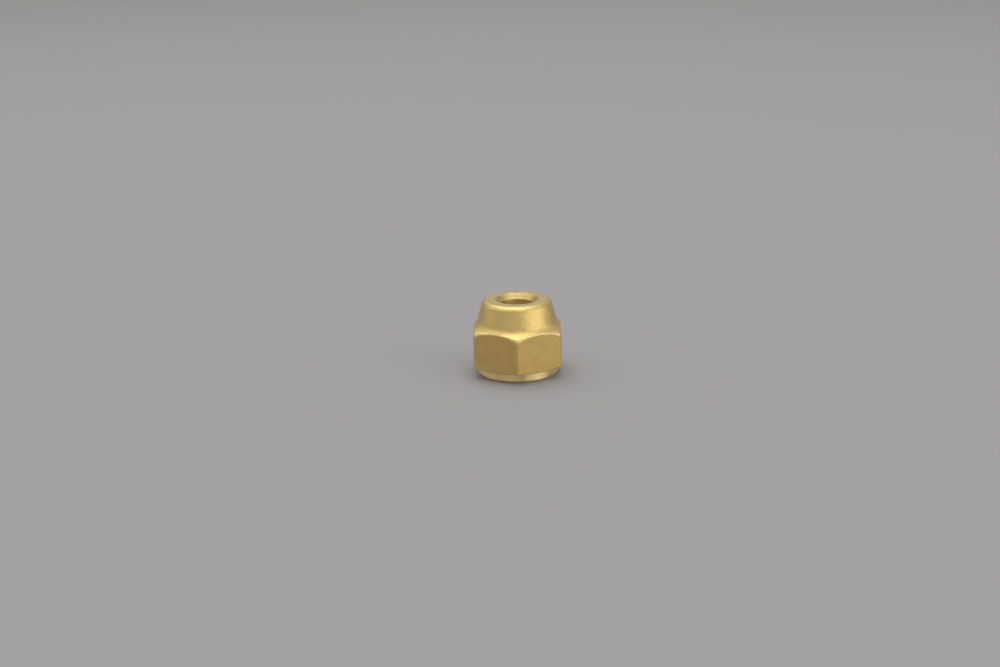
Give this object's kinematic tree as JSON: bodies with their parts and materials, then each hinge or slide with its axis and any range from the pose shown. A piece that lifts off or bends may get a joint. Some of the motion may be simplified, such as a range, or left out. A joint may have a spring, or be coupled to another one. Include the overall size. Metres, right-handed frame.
{
  "type": "flare nut",
  "caption": "Forged brass flare nut: hexagon with a turned collar, a tapered round nose and a stepped through bore that clamps a flared tube to a threaded fitting.",
  "frame": {"origin": "centre of the collar's end face, on the bore axis, where the nut stands", "axes": "+Z along the bore axis from the threaded end to the nose; X through the middles of two opposite flats; a corner of the hexagon points along -Y"},
  "size_m": [0.017, 0.0194, 0.0148],
  "materials": {
    "brass": "satin, forged and blasted outside, turned on the collar and in the bore"
  },
  "bodies": {
    "root": {"flare_nut": "brass"}
  },
  "joints": []
}
